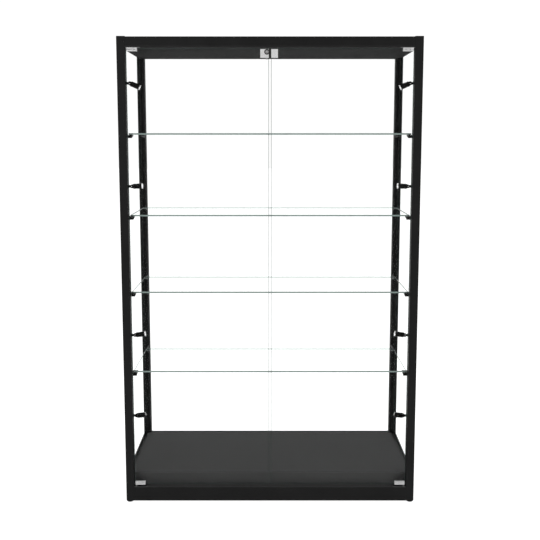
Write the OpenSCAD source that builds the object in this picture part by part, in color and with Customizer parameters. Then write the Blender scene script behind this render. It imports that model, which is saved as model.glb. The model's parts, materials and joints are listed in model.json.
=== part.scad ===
// Glass display case: a black aluminium frame with glass on every side, two hinged
// glass doors with a cam lock, four adjustable glass shelves and eight aimable lamps.
// Millimetres, +Z up, front towards -Y, origin on the floor under the middle of the case.

/* [Case] */
// Overall width
case_w = 1200; // [1100:10:1300]
// Overall depth
case_d = 600; // [580:5:640]
// Overall height from the floor to the roof
case_h = 1900; // [1880:5:2000]
// Height of the frame above the floor when the feet are screwed right in
foot_h = 6; // [5:0.5:8]

/* [Frame] */
// Width of a corner post, seen from the front
post_w = 33; // [33:0.5:36]
// Depth of a corner post
post_d = 35; // [35:0.5:38]
// Wall thickness of the extrusions
wall = 2; // [1.6:0.1:2.2]
// Height of the four top rails
top_rail_h = 33; // [33:0.5:36]
// Height of the side and rear base rails
base_rail_h = 108; // [100:1:120]
// Height of the front base rail, which is lower so that the doors cover the floor's edge
front_base_h = 59; // [50:1:70]

/* [Glass] */
// Thickness of every glass panel
glass_t = 6; // [5:0.5:6]
// Distance from the outer face of the frame to the middle of a glazing groove
glass_in = 9; // [9:0.5:10]
// Width of a glazing groove
groove_w = 8; // [7.5:0.5:8]
// Depth of a glazing groove
groove_deep = 8; // [6:0.5:8]

/* [Shelves] */
// Heights of the undersides of the glass shelves, from the lowest up
shelf_z = [546, 879, 1194, 1521]; // [400:1:1600]
// Width of a shelf
shelf_w = 1132; // [1126:1:1134]
// Depth of a shelf
shelf_d = 415; // [400:5:430]
// Gap between the front of a shelf and the back of the front posts
shelf_setback = 7; // [5:1:9]

/* [Doors] */
// Distance from the front of the frame to the middle of the door glass
door_in = 8; // [8:0.5:9]
// Gap between a door and its post
door_side_gap = 3; // [3:0.5:4]
// Gap between the meeting edges of the two doors
door_meeting_gap = 8; // [6:1:10]
// Height of the lower edge of the door glass above the floor
door_z = 78; // [76:1:80]
// Distance from a door's outer edge to its pivot
pivot_in = 6; // [5.5:0.5:6]

/* [Lamps] */
// Heights of the lamps, from the top down
lamp_z = [1722, 1316, 707, 366]; // [300:1:1800]
// Angle of each lamp away from straight across the case
lamp_tilt = [22, 2, 8, 50]; // [0:1:75]
// Direction of that tilt: 0 is to the back, 90 is up and -90 is down
lamp_swivel = [-80, 90, 75, -12]; // [-90:1:90]

/* [Hidden] */
$fn = 48;
eps = 0.01;

// Fits: round a fastener, round a cast arm or a bush, between thread crests, and round a panel
hole_play = 0.1;
clear = 0.2;
thread_fit = 0.02;
panel_gap = 0.5;
end_gap = 1;

shelf_ids = [1, 2, 3, 4];
lamp_ids = [1, 2, 3, 4];
side_names = ["left", "right"];
foot_ids = ["left_front", "right_front", "left_rear", "right_rear"];
lamp_yoke_nodes = [for (s = side_names) for (i = lamp_ids) str(s, "_lamp_", i, "_yoke")];
lamp_head_nodes = [for (s = side_names) for (i = lamp_ids) str(s, "_lamp_", i, "_head")];
shelf_glass_nodes = [for (i = shelf_ids) str("shelf_", i, "_glass")];
shelf_bracket_nodes = [for (i = shelf_ids) str("shelf_", i, "_brackets")];
foot_nodes = [for (f = foot_ids) str(f, "_foot")];
fixed_nodes = [
    "left_front_post", "right_front_post", "left_rear_post", "right_rear_post",
    "front_top_rail", "rear_top_rail", "left_top_rail", "right_top_rail",
    "front_base_rail", "rear_base_rail", "left_base_rail", "right_base_rail",
    "corner_blocks", "frame_screws", "roof_panel", "ceiling_panel", "floor_deck",
    "left_side_glass", "right_side_glass", "back_glass", "glazing_seals",
    "lamp_driver", "power_inlet", "lamp_stems", "hinge_sockets"
];
door_nodes = [
    "left_door_glass", "left_door_clips", "lock_case",
    "right_door_glass", "right_door_clips", "lock_keeper", "lock_plug"
];

// Frame
half_w = case_w / 2;
half_d = case_d / 2;
span_x = case_w - 2 * post_w;
span_y = case_d - 2 * post_d;
post_h = case_h - foot_h;
inner_x = span_x / 2;
inner_y = span_y / 2;
base_top = foot_h + base_rail_h;
front_base_top = foot_h + front_base_h;
header_z = case_h - top_rail_h;
land = glass_in + groove_w / 2 + wall;

// Bracket slot in the end face of every post
slot_x = 20.5;
slot_mouth = 6;
slot_inner = 11;
slot_lip = 1.5;
slot_deep = 4;

// Corner blocks and their screws
core_at = 3;
core_size = 19;
core_h = 32;
arm_at = 4;
arm_size = 18;
arm_reach = 45;
stud_at = 14;
stud_r = 3.95;
stud_hole_r = 4;
stud_h = 24;
foot_r = 13;
foot_play = 0.05;
screw_r = 2;
screw_head_r = 3.6;
screw_head_h = 2;
screw_len = 24;
screw_back = 22;

// Panels
sheet = 1.5;
ceiling_h = 7;
ceiling_z = header_z - ceiling_h;
ceiling_half_x = half_w - glass_in - glass_t / 2 - 3;
roof_sheet = 2;
roof_drop = 5;
rib_out = 5;
rib_h = 3;
deck_t = 3;
deck_edge = 22;
deck_lip_bottom = 40;
deck_rib_h = 30;
deck_rib_w = 40;

// Doors and hinges
door_y = door_in - half_d;
door_outer = inner_x - door_side_gap;
door_inner = door_meeting_gap / 2;
door_top = ceiling_z - 5;
pivot_x = door_outer - pivot_in;
pin_r = 2.5;
pin_fit = 0.05;
clip_len = 44;
clip_t = 12;
clip_h = 14;
clip_cap = 3;
socket_t = 1.6;
socket_r = 5;
socket_len = 58;
bush_seat = 5;
bush_gap = 0.4;
clip_play = 0.3;
clip_screw_x = [10, 27];
clip_screw_r = 2.2;
clip_screw_proud = 0.6;

// Lock, on the top corners of the doors where they meet
lock_z = 1819;
lock_h = 33;
lock_plate_t = 2;
lock_case_w = 36;
lock_keeper_w = 29;
plug_x = -12;
plug_up = 22;
plug_r = 6;
barrel_r = 8.5;
cam_len = 28;
cam_w = 8;
cam_t = 2;
notch_r = 9.5;

// Shelves
shelf_y = shelf_setback - inner_y;
pad_h = 1;
pad_r = 6;
bracket_h = 12;
plate_t = 4;
plate_out = 6;
bracket_in = 15;
front_arm = 48;
arm_at_front = 6;
arm_at_rear = 5;
arm_tip = 4;
tab_len = 30;
bracket_screw_r = 2;
bracket_head_r = 3.4;
bracket_head_h = 2;
nut_play = 0.3;
glass_corner = 8;

// Lamps, each with a stem in the post, a tongue that swivels on it and a head that tilts on the tongue
lamp_y = -half_d + 26.5;
lamp_gap = 0.3;
spigot_r = 2.45;
spigot_len = 7;
flange_r = 6;
flange_t = 2;
journal_r = 1.6;
journal_len = 7.5;
wire_r = 0.8;
lamp_pivot = 13;
hub_r = 5.5;
hub_t = 1.9;
tongue_w = 9;
tongue_t = 6;
lamp_pin_r = 1.5;
pin_head_r = 2.9;
pin_head_h = 1;
knuckle_r = 8.3;
knuckle_flat = 7;
fork_slot = 6.6;
fork_floor = 6.5;
head_r = 10.5;
head_full = 8;
head_front = 36;
head_bore = 9;
board_x = 24;
board_t = 1.5;
cup_r = 3;
cup_t = 0.8;
fin_count = 3;
fin_pitch = 3.5;
fin_gap = 1.6;
fin_deep = 1.4;
bezel_r = 10.8;
bezel_front = 44;
lens_t = 2;

// Power
inlet_x = 420;
inlet_r = 6;
inlet_face = half_d - 0.5;
inlet_end = inner_y - 3.5;
driver_size = [190, 60, 24];
driver_gap = 60;
lead_r = 1.6;
lead_in = 20;
jack_r = 2.8;
jack_deep = 10;
jack_pin_r = 1;

// Colours
frame_black = [0.12, 0.12, 0.12];
panel_black = [0.16, 0.16, 0.16];
deck_grey = [0.27, 0.27, 0.27];
chrome = [0.8, 0.8, 0.81];
clear_glass = [0.78, 0.9, 0.86, 0.35];

// Copies the left half's shape to the right
module on_side(side) {
    if (side == "right") {
        mirror([1, 0, 0]) children();
    } else {
        children();
    }
}

module both_sides() {
    children();
    mirror([1, 0, 0]) children();
}

module both_ends() {
    children();
    mirror([0, 1, 0]) children();
}

// A profile drawn in XY, run along +X with its own x pointing to +Y and its y up
module run_x(length) {
    rotate([90, 0, 90]) linear_extrude(length) children();
}

// A profile drawn in XY, run along -Y with its y up
module run_y(length) {
    rotate([90, 0, 0]) linear_extrude(length) children();
}

// A plate in XY with round corners, centred on the origin
module round_plate(w, d, t, r) {
    translate([-w / 2 + r, -d / 2, 0]) cube([w - 2 * r, d, t]);
    translate([-w / 2, -d / 2 + r, 0]) cube([w, d - 2 * r, t]);
    for (x = [-1, 1]) {
        for (y = [-1, 1]) {
            translate([x * (w / 2 - r), y * (d / 2 - r), 0]) cylinder(h = t, r = r);
        }
    }
}

// Section of a post, drawn from its outer corner: x into the case's width, y into its depth
module post_section(holds_back_glass) {
    chamber_w = holds_back_glass ? post_w - groove_deep - 2 * wall : post_w - 2 * wall;
    slot_back = post_d - slot_lip - slot_deep;
    difference() {
        square([post_w, post_d]);
        translate([wall, wall]) square([chamber_w, post_d - groove_deep - 2 * wall]);
        if (!holds_back_glass) {
            translate([land, wall]) square([post_w - wall - land, slot_back - 2 * wall]);
        }
        translate([glass_in - groove_w / 2, post_d - groove_deep]) square([groove_w, groove_deep + eps]);
        translate([slot_x - slot_mouth / 2, post_d - slot_lip - eps]) {
            square([slot_mouth, slot_lip + 2 * eps]);
        }
        translate([slot_x - slot_inner / 2, slot_back]) square([slot_inner, slot_deep]);
        if (holds_back_glass) {
            translate([post_w - groove_deep, glass_in - groove_w / 2]) square([groove_deep + eps, groove_w]);
        }
    }
}

// Openings through a post's walls for the arms of its two corner blocks
module arm_windows() {
    for (z = [arm_at, post_h - arm_at - arm_size]) {
        translate([arm_at - clear, core_at + core_size - 1, z - clear]) {
            cube([arm_size + 2 * clear, post_d, arm_size + 2 * clear]);
        }
        translate([core_at + core_size - 1, arm_at - clear, z - clear]) {
            cube([post_w, arm_size + 2 * clear, arm_size + 2 * clear]);
        }
    }
}

module front_post() {
    translate([-half_w, -half_d, foot_h]) {
        difference() {
            linear_extrude(post_h) post_section(false);
            arm_windows();
            for (z = lamp_z) {
                translate([post_w - spigot_len - 1, lamp_y + half_d, z - foot_h]) {
                    rotate([0, 90, 0]) cylinder(h = spigot_len + 2, r = spigot_r + pin_fit);
                }
            }
        }
    }
}

module rear_post() {
    translate([-half_w, half_d, foot_h]) {
        mirror([0, 1, 0]) {
            difference() {
                linear_extrude(post_h) post_section(true);
                arm_windows();
            }
        }
    }
}

module left_front_post() { color(frame_black) front_post(); }
module right_front_post() { color(frame_black) on_side("right") front_post(); }
module left_rear_post() { color(frame_black) rear_post(); }
module right_rear_post() { color(frame_black) on_side("right") rear_post(); }

// Section of a rail: x from its outer face, y up from the edge away from the glass
module rail_section(w, h, glazed) {
    difference() {
        square([w, h]);
        if (glazed) {
            translate([wall, wall]) square([w - 2 * wall, h - groove_deep - 2 * wall]);
            translate([land, wall]) square([w - wall - land, h - 2 * wall]);
            translate([glass_in - groove_w / 2, h - groove_deep]) square([groove_w, groove_deep + eps]);
        } else {
            translate([wall, wall]) square([w - 2 * wall, h - 2 * wall]);
        }
    }
}

module top_rail_section(w, glazed) {
    mirror([0, 1, 0]) rail_section(w, top_rail_h, glazed);
}

// Section of the rib on a top rail that carries the roof panel
module rib_section(w) {
    translate([w - eps, -roof_drop - rib_h]) square([rib_out, rib_h]);
}

// Holes for the screws that clamp a rail to its corner arms, on the rail's inner wall
module screw_holes_y(z) {
    both_ends() {
        translate([-inner_x - wall - 1, -inner_y + screw_back, z]) {
            rotate([0, 90, 0]) cylinder(h = wall + 2, r = screw_r + hole_play);
        }
    }
}

module screw_holes_x(z) {
    both_sides() {
        translate([-inner_x + screw_back, -inner_y + 1, z]) {
            rotate([90, 0, 0]) cylinder(h = wall + 2, r = screw_r + hole_play);
        }
    }
}

base_screw_z = foot_h + arm_at + arm_size / 2;
top_screw_z = case_h - arm_at - arm_size / 2;

module side_top_rail() {
    difference() {
        translate([-half_w, inner_y, case_h]) run_y(span_y) top_rail_section(post_w, true);
        screw_holes_y(top_screw_z);
    }
    translate([-half_w, inner_y - rib_out - panel_gap, case_h]) {
        run_y(span_y - 2 * (rib_out + panel_gap)) rib_section(post_w);
    }
}

module side_base_rail() {
    difference() {
        translate([-half_w, inner_y, foot_h]) run_y(span_y) rail_section(post_w, base_rail_h, true);
        screw_holes_y(base_screw_z);
    }
}

module left_top_rail() { color(frame_black) side_top_rail(); }
module right_top_rail() { color(frame_black) on_side("right") side_top_rail(); }
module left_base_rail() { color(frame_black) side_base_rail(); }
module right_base_rail() { color(frame_black) on_side("right") side_base_rail(); }

module front_top_rail() {
    color(frame_black) difference() {
        translate([-inner_x, -half_d, case_h]) run_x(span_x) {
            top_rail_section(post_d, false);
            rib_section(post_d);
        }
        screw_holes_x(top_screw_z);
        both_sides() {
            translate([-pivot_x, door_y, header_z - 1]) cylinder(h = wall + 2, r = socket_r + hole_play);
        }
    }
}

module front_base_rail() {
    color(frame_black) difference() {
        translate([-inner_x, -half_d, foot_h]) run_x(span_x) rail_section(post_d, front_base_h, false);
        screw_holes_x(base_screw_z);
        both_sides() {
            translate([-pivot_x, door_y, front_base_top - wall - 1]) {
                cylinder(h = wall + 2, r = socket_r + hole_play);
            }
        }
    }
}

module rear_top_rail() {
    color(frame_black) difference() {
        mirror([0, 1, 0]) difference() {
            translate([-inner_x, -half_d, case_h]) run_x(span_x) {
                top_rail_section(post_d, true);
                rib_section(post_d);
            }
            screw_holes_x(top_screw_z);
        }
        translate([inlet_x, inner_y - rib_out - 1, top_screw_z]) {
            rotate([-90, 0, 0]) cylinder(h = post_d + rib_out + 2, r = inlet_r + hole_play);
        }
    }
}

module rear_base_rail() {
    color(frame_black) mirror([0, 1, 0]) difference() {
        translate([-inner_x, -half_d, foot_h]) run_x(span_x) rail_section(post_d, base_rail_h, true);
        screw_holes_x(base_screw_z);
    }
}

// A cast block in the end of a post, with an arm into each of the two rails
module corner_block(has_stud_hole) {
    difference() {
        union() {
            translate([core_at, core_at, 0]) cube([core_size, core_size, core_h]);
            translate([arm_at, core_at + core_size - 1, arm_at]) {
                cube([arm_size, post_d - core_at - core_size + 1 + arm_reach, arm_size]);
            }
            translate([core_at + core_size - 1, arm_at, arm_at]) {
                cube([post_w - core_at - core_size + 1 + arm_reach, arm_size, arm_size]);
            }
        }
        if (has_stud_hole) {
            translate([stud_at, stud_at, -1]) cylinder(h = stud_h + 3, r = stud_hole_r);
        }
        translate([post_w, post_d + screw_back, arm_at + arm_size / 2]) {
            rotate([0, -90, 0]) cylinder(h = post_w, r = screw_r + thread_fit);
        }
        translate([post_w + screw_back, post_d, arm_at + arm_size / 2]) {
            rotate([90, 0, 0]) cylinder(h = post_d, r = screw_r + thread_fit);
        }
    }
}

module corner_blocks() {
    color("dimgray") both_sides() both_ends() {
        translate([-half_w, -half_d, foot_h]) corner_block(true);
        translate([-half_w, -half_d, case_h]) mirror([0, 0, 1]) corner_block(false);
    }
}

// A pan-head screw along -X, with its head's seat at the origin
module pan_screw() {
    rotate([0, -90, 0]) {
        translate([0, 0, -screw_head_h]) cylinder(h = screw_head_h, r = screw_head_r);
        translate([0, 0, -eps]) cylinder(h = screw_len, r = screw_r);
    }
}

module frame_screws() {
    color("silver") both_sides() both_ends() {
        for (z = [base_screw_z, top_screw_z]) {
            translate([-inner_x, -inner_y + screw_back, z]) pan_screw();
            translate([-inner_x + screw_back, -inner_y, z]) rotate([0, 0, 90]) pan_screw();
        }
    }
}

module roof_panel() {
    color(panel_black) translate([0, 0, case_h - roof_drop]) {
        round_plate(span_x - 2 * panel_gap, span_y - 2 * panel_gap, roof_sheet, 1);
    }
}

// Outline of the ceiling panel, notched round the four posts, drawn smaller by `less`
module ceiling_shape(less, z, h) {
    side_x = ceiling_half_x - less;
    front_x = inner_x - panel_gap - less;
    side_y = inner_y - panel_gap - less;
    front_y = half_d - panel_gap - less;
    rear_y = half_d - glass_in - glass_t / 2 - 2 - less;
    translate([-side_x, -side_y, z]) cube([2 * side_x, 2 * side_y, h]);
    translate([-front_x, -front_y, z]) cube([2 * front_x, front_y + rear_y, h]);
}

module ceiling_panel() {
    color(panel_black) difference() {
        ceiling_shape(0, ceiling_z, ceiling_h);
        ceiling_shape(sheet, ceiling_z + sheet, ceiling_h);
        both_sides() {
            translate([-pivot_x, door_y, ceiling_z - 1]) cylinder(h = sheet + 2, r = socket_r + clear);
        }
    }
}

module floor_deck() {
    deck_half_x = half_w - deck_edge;
    deck_front = -inner_y + panel_gap;
    deck_rear = half_d - deck_edge;
    lip_half_x = inner_x - 2 * panel_gap;
    color(deck_grey) {
        translate([-deck_half_x, deck_front, base_top]) {
            cube([2 * deck_half_x, inner_y - panel_gap - deck_front, deck_t]);
        }
        translate([-lip_half_x, deck_front, base_top]) cube([2 * lip_half_x, deck_rear - deck_front, deck_t]);
        translate([-lip_half_x, deck_front, deck_lip_bottom]) {
            cube([2 * lip_half_x, sheet, base_top - deck_lip_bottom + eps]);
        }
        for (y = [-0.5, 0.5]) {
            translate([-lip_half_x, y * inner_y - deck_rib_w / 2, base_top - deck_rib_h]) {
                difference() {
                    cube([2 * lip_half_x, deck_rib_w, deck_rib_h + eps]);
                    translate([-1, sheet, sheet]) {
                        cube([2 * lip_half_x + 2, deck_rib_w - 2 * sheet, deck_rib_h - sheet]);
                    }
                }
            }
        }
    }
}

pane_bottom = base_top - groove_deep + panel_gap;
pane_h = header_z + groove_deep - panel_gap - pane_bottom;
side_pane_d = span_y + 2 * (groove_deep - end_gap);
back_pane_w = span_x + 2 * (groove_deep - end_gap);

module side_pane() {
    translate([-half_w + glass_in - glass_t / 2, -side_pane_d / 2, pane_bottom]) {
        cube([glass_t, side_pane_d, pane_h]);
    }
}

module left_side_glass() { color(clear_glass) side_pane(); }
module right_side_glass() { color(clear_glass) on_side("right") side_pane(); }

module back_glass() {
    color(clear_glass) translate([-back_pane_w / 2, half_d - glass_in - glass_t / 2, pane_bottom]) {
        cube([back_pane_w, glass_t, pane_h]);
    }
}

seal_gap = 0.03;
seal_t = (groove_w - glass_t) / 2 - 2 * seal_gap;
seal_proud = 1;

// One straight seal strip given by its two opposite corners
module strip(low, high) {
    translate(low) cube(high - low);
}

module pane_seals(side_pane_seals) {
    for (face = [-1, 1]) {
        out = glass_t / 2 + seal_gap;
        near = face < 0 ? -out - seal_t : out;
        far = near + seal_t;
        if (side_pane_seals) {
            x0 = -half_w + glass_in + near;
            x1 = -half_w + glass_in + far;
            strip([x0, -inner_y, base_top - groove_deep + end_gap], [x1, inner_y, base_top + seal_proud]);
            strip([x0, -inner_y, header_z - seal_proud], [x1, inner_y, header_z + groove_deep - end_gap]);
            for (end = [-1, 1]) {
                y0 = end < 0 ? -inner_y - groove_deep + end_gap : inner_y - seal_proud;
                strip(
                    [x0, y0, base_top + seal_proud],
                    [x1, y0 + groove_deep - end_gap + seal_proud, header_z - seal_proud]
                );
            }
        } else {
            y0 = half_d - glass_in + near;
            y1 = half_d - glass_in + far;
            strip([-inner_x, y0, base_top - groove_deep + end_gap], [inner_x, y1, base_top + seal_proud]);
            strip([-inner_x, y0, header_z - seal_proud], [inner_x, y1, header_z + groove_deep - end_gap]);
            for (end = [-1, 1]) {
                x0 = end < 0 ? -inner_x - groove_deep + end_gap : inner_x - seal_proud;
                strip(
                    [x0, y0, base_top + seal_proud],
                    [x0 + groove_deep - end_gap + seal_proud, y1, header_z - seal_proud]
                );
            }
        }
    }
}

module glazing_seals() {
    color("black") {
        both_sides() pane_seals(true);
        pane_seals(false);
    }
}

// A straight length of lead along +X, with round ends
module lead(length) {
    rotate([0, 90, 0]) cylinder(h = length, r = lead_r);
    sphere(r = lead_r);
    translate([length, 0, 0]) sphere(r = lead_r);
}

// Lamp driver in the roof space, with its moulded leads to the inlet and to the front posts
module lamp_driver() {
    mid_y = inner_y - driver_gap - driver_size[1] / 2;
    lead_z = ceiling_z + sheet + lead_r + 1;
    post_lead_x = inner_x - lead_in;
    front_run = mid_y + inner_y - 1.5 * lead_in;
    inlet_back = inlet_end - 2 * lead_r;
    color("gainsboro") {
        translate([-driver_size[0] / 2, mid_y - driver_size[1] / 2, ceiling_z + sheet]) cube(driver_size);
        both_sides() {
            translate([-post_lead_x, mid_y, lead_z]) lead(post_lead_x - driver_size[0] / 2 + lead_r);
            translate([-post_lead_x, mid_y, lead_z]) rotate([0, 0, -90]) lead(front_run);
        }
        translate([inlet_x, mid_y, lead_z]) rotate([0, 0, 90]) lead(inlet_back - mid_y);
        translate([inlet_x, inlet_back, lead_z]) rotate([0, -90, 0]) lead(top_screw_z - lead_z);
        translate([inlet_x, inlet_back, top_screw_z]) {
            rotate([-90, 0, 0]) cylinder(h = inlet_end - inlet_back, r = lead_r);
        }
    }
}

// Low-voltage socket through the rear top rail
module power_inlet() {
    color("black") translate([inlet_x, inlet_face, top_screw_z]) rotate([90, 0, 0]) {
        difference() {
            cylinder(h = inlet_face - inlet_end, r = inlet_r);
            translate([0, 0, -1]) cylinder(h = jack_deep + 1, r = jack_r);
        }
        translate([0, 0, 1]) cylinder(h = jack_deep, r = jack_pin_r);
    }
}

// Oblong plate of a hinge socket, with its round end towards the middle of the case
module socket_plate() {
    back = pivot_in + door_side_gap - 1;
    half = door_in - 1;
    straight = socket_len - back - half;
    translate([-back, -half, 0]) cube([straight + back, 2 * half, socket_t]);
    translate([straight, 0, 0]) cylinder(h = socket_t, r = half);
}

// Plate and bush that a door pin turns in; z points from the rail towards the door
module hinge_socket(bush_in, bush_out) {
    difference() {
        union() {
            socket_plate();
            translate([0, 0, -bush_in]) cylinder(h = bush_in + socket_t + bush_out, r = socket_r);
        }
        translate([0, 0, -bush_in - 1]) cylinder(h = bush_in + bush_out + socket_t + 2, r = pin_r + pin_fit);
    }
}

door_pin_gap = door_z - clip_cap - front_base_top;

module hinge_sockets() {
    color("gray") both_sides() {
        translate([-pivot_x, door_y, front_base_top]) {
            hinge_socket(bush_seat, door_pin_gap - socket_t - bush_gap);
        }
        translate([-pivot_x, door_y, ceiling_z]) {
            mirror([0, 0, 1]) hinge_socket(ceiling_h + bush_seat, 0);
        }
    }
}

// Glass clip at a door's corner, with its pin; z points away from the glass
module hinge_clip(pin_len) {
    slot = glass_t + clip_play;
    difference() {
        union() {
            cylinder(h = clip_h, r = clip_t / 2);
            translate([0, -clip_t / 2, 0]) cube([clip_len - clip_t / 2, clip_t, clip_h]);
        }
        translate([-clip_t, -slot / 2, -1]) cube([clip_len + clip_t, slot, clip_h - clip_cap + 1]);
    }
    for (x = clip_screw_x) {
        translate([x, -clip_t / 2 - clip_screw_proud, (clip_h - clip_cap) / 2]) {
            rotate([-90, 0, 0]) cylinder(h = 2 * clip_screw_proud, r = clip_screw_r);
        }
    }
    translate([0, 0, clip_h - clip_cap + eps]) cylinder(h = clip_cap + pin_len, r = pin_r);
}

module door_clips() {
    translate([-pivot_x, door_y, door_top + clip_cap - clip_h]) hinge_clip(socket_t + 10);
    translate([-pivot_x, door_y, door_z - clip_cap + clip_h]) {
        mirror([0, 0, 1]) hinge_clip(door_pin_gap + 3);
    }
}

module left_door_clips() { color(chrome) door_clips(); }
module right_door_clips() { color(chrome) on_side("right") door_clips(); }

module door_pane() {
    pane_w = door_outer - door_inner;
    difference() {
        translate([-door_outer + pane_w / 2, door_y + glass_t / 2, (door_z + door_top) / 2]) {
            rotate([90, 0, 0]) round_plate(pane_w, door_top - door_z, glass_t, 2);
        }
        children();
    }
}

module left_door_glass() {
    color(clear_glass) door_pane() {
        translate([plug_x, door_y + glass_t, lock_z + plug_up]) {
            rotate([90, 0, 0]) cylinder(h = 2 * glass_t, r = notch_r);
            translate([0, -2 * glass_t, -notch_r]) cube([notch_r + 5, 2 * glass_t, 2 * notch_r]);
        }
    }
}

module right_door_glass() { color(clear_glass) on_side("right") door_pane(); }

// A folded plate round the meeting edge of a door, both faces and the edge
module edge_clamp(width) {
    front = door_y - glass_t / 2 - lock_plate_t;
    depth = glass_t + 2 * lock_plate_t;
    difference() {
        translate([-door_inner + 2 - width, front, lock_z]) cube([width, depth, lock_h]);
        translate([-door_inner - width, front + lock_plate_t - 0.05, lock_z - 1]) {
            cube([width + 0.1, glass_t + 0.1, lock_h + 2]);
        }
    }
}

module plug_axis() {
    translate([plug_x, door_y, lock_z + plug_up]) rotate([90, 0, 0]) children();
}

barrel_front = half_d + door_y - 1;
barrel_back = glass_t / 2 + lock_plate_t + 2;

module lock_case() {
    color(chrome) difference() {
        union() {
            edge_clamp(lock_case_w);
            plug_axis() translate([0, 0, -barrel_back]) {
                cylinder(h = barrel_back + barrel_front, r = barrel_r);
            }
        }
        plug_axis() translate([0, 0, -barrel_back - 1]) {
            cylinder(h = barrel_back + barrel_front + 2, r = plug_r + pin_fit);
        }
    }
}

// The keyed plug with its cam, which hangs down when the doors are free to open
module lock_plug() {
    key_slot = [1.4, 7, 6];
    plug_back = -barrel_back - clear;
    color("lightgray") {
        plug_axis() difference() {
            translate([0, 0, plug_back]) cylinder(h = barrel_front - plug_back, r = plug_r);
            translate([-key_slot[0] / 2, -key_slot[1] / 2, barrel_front - key_slot[2]]) {
                cube([key_slot[0], key_slot[1], key_slot[2] + 1]);
            }
        }
    }
    color("gray") plug_axis() translate([0, 0, plug_back - cam_t]) {
        cylinder(h = cam_t, r = plug_r);
        translate([-cam_w / 2, -cam_len, 0]) cube([cam_w, cam_len, cam_t]);
    }
}

// The keeper on the other door: a hooked box that the cam swings into
module lock_keeper() {
    back = door_y + glass_t / 2 + lock_plate_t;
    hook_w = 20;
    hook_t = 1.5;
    hook_gap = 7;
    hook_roof = 3;
    pad_t = 1;
    hook_z = lock_z + plug_up - cam_w / 2 - hook_roof;
    hook_h = lock_z + lock_h - hook_z;
    color(chrome) {
        mirror([1, 0, 0]) edge_clamp(lock_keeper_w);
        translate([door_inner, back - eps, hook_z]) cube([hook_w, pad_t + eps, hook_h]);
        translate([door_inner, back + hook_gap, hook_z]) cube([hook_w, hook_t, hook_h]);
        translate([door_inner, back - eps, lock_z + lock_h - hook_roof]) {
            cube([hook_w, hook_gap + hook_t / 2 + eps, hook_roof]);
        }
    }
}

// Shelf number i, counted from the lowest
module shelf_glass(i) {
    color(clear_glass) translate([0, shelf_y + shelf_d / 2, shelf_z[i - 1]]) {
        round_plate(shelf_w, shelf_d, glass_t, glass_corner);
    }
}

// A bracket on the inner face of a left post: plate, arm, pad, clamp screw and slot nut.
// y points from the post's face into the case, and z = 0 is the underside of the glass.
module shelf_bracket(reach, plate_in, arm_out, tab_out) {
    top = -pad_h;
    slot_at = -half_w + slot_x;
    plate_x = slot_at - plate_out;
    arm_x = slot_at + arm_out;
    arm_w = plate_in - arm_out;
    tab_w = plate_in + tab_out - arm_out;
    difference() {
        translate([plate_x, clear, top - bracket_h]) cube([plate_out + plate_in, plate_t, bracket_h]);
        translate([slot_at, -1, top - bracket_h / 2]) {
            rotate([-90, 0, 0]) cylinder(h = plate_t + 2, r = bracket_screw_r + hole_play);
        }
    }
    translate([arm_x, plate_t, top]) run_x(arm_w) {
        polygon([[0, 0], [reach - plate_t, 0], [reach - plate_t, -arm_tip], [0, -bracket_h]]);
    }
    translate([arm_x, reach - tab_len, top - arm_tip]) cube([tab_w, tab_len, arm_tip]);
    translate([arm_x + tab_w - pad_r - 1, reach - tab_len / 2, top]) cylinder(h = pad_h, r = pad_r);
    translate([slot_at, plate_t + clear, top - bracket_h / 2]) {
        rotate([90, 0, 0]) {
            cylinder(h = plate_t + slot_lip + slot_deep - 2 * nut_play, r = bracket_screw_r);
        }
        rotate([-90, 0, 0]) cylinder(h = bracket_head_h, r = bracket_head_r);
    }
    difference() {
        translate([slot_at - slot_inner / 2 + nut_play, nut_play - slot_lip - slot_deep, top - bracket_h]) {
            cube([slot_inner - 2 * nut_play, slot_deep - 2 * nut_play, bracket_h]);
        }
        translate([slot_at, 0, top - bracket_h / 2]) {
            rotate([90, 0, 0]) cylinder(h = 2 * slot_deep, r = bracket_screw_r + thread_fit);
        }
    }
}

// The four brackets of one shelf: short ones on the front posts, long ones on the rear posts
module shelf_brackets(i) {
    rear_reach = inner_y - shelf_y - shelf_d + tab_len;
    plate_in_rear = post_w - slot_x - 1;
    color(frame_black) translate([0, 0, shelf_z[i - 1]]) both_sides() {
        translate([0, -inner_y, 0]) {
            shelf_bracket(front_arm, post_w - slot_x + bracket_in, arm_at_front, 0);
        }
        mirror([0, 1, 0]) translate([0, -inner_y, 0]) {
            shelf_bracket(rear_reach, plate_in_rear, arm_at_rear, bracket_in + 1);
        }
    }
}

// Fixed stem of a lamp along +X: spigot in the post, flange and hollow journal
module lamp_stem() {
    rotate([0, 90, 0]) difference() {
        union() {
            translate([0, 0, -spigot_len]) cylinder(h = spigot_len + eps, r = spigot_r);
            cylinder(h = flange_t, r = flange_r);
            cylinder(h = journal_len, r = journal_r);
        }
        translate([0, 0, -spigot_len - 1]) cylinder(h = spigot_len + journal_len + 2, r = wire_r);
    }
}

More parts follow.
